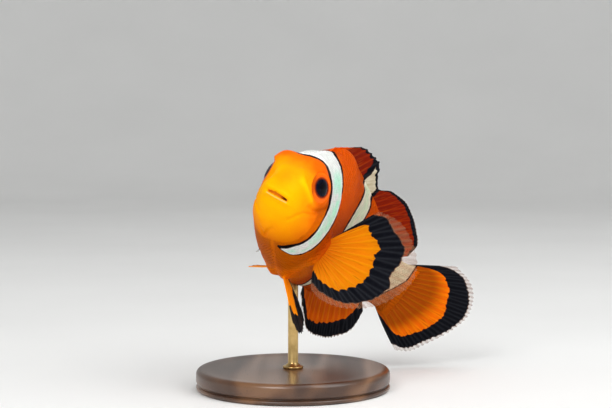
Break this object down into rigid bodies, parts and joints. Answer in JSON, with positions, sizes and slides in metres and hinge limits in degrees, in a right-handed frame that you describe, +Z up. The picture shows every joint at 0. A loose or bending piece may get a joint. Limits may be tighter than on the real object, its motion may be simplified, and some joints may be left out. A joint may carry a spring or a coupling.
{
  "type": "clownfish model on a display stand",
  "caption": "Life-size still clownfish in a turning, swimming pose with banded orange body and dark-edged fins, held by a rod on a flat round base.",
  "frame": {"origin": "centre of the stand base's underside, on the surface it stands on", "axes": "+Z up; the rod stands along Z; the fish's head faces roughly -Y and its tail runs back to +X and +Y"},
  "size_m": [0.0628, 0.0555, 0.0525],
  "materials": {
    "skin": "wet satin scales, orange with three white bands edged black",
    "face": "wet satin skin, yellow-orange",
    "fin": "ribbed membrane, orange with broad black margin and pale rim",
    "eye": "clear glossy dome over an orange-red iris and black pupil",
    "base": "dark walnut, satin varnish",
    "rod": "satin"
  },
  "bodies": {
    "root": {"head": "face", "lower_jaw": "face", "gill_cover_left": "skin", "gill_cover_right": "skin", "eye_left": "eye", "eye_right": "eye", "trunk": "skin", "tail": "skin", "dorsal_fin": "fin", "anal_fin": "fin", "caudal_fin": "fin", "pectoral_fin_left": "fin", "pectoral_fin_right": "fin", "pelvic_fin_left": "fin", "pelvic_fin_right": "fin", "stand_base": "base", "stand_rod": "rod"}
  },
  "joints": []
}
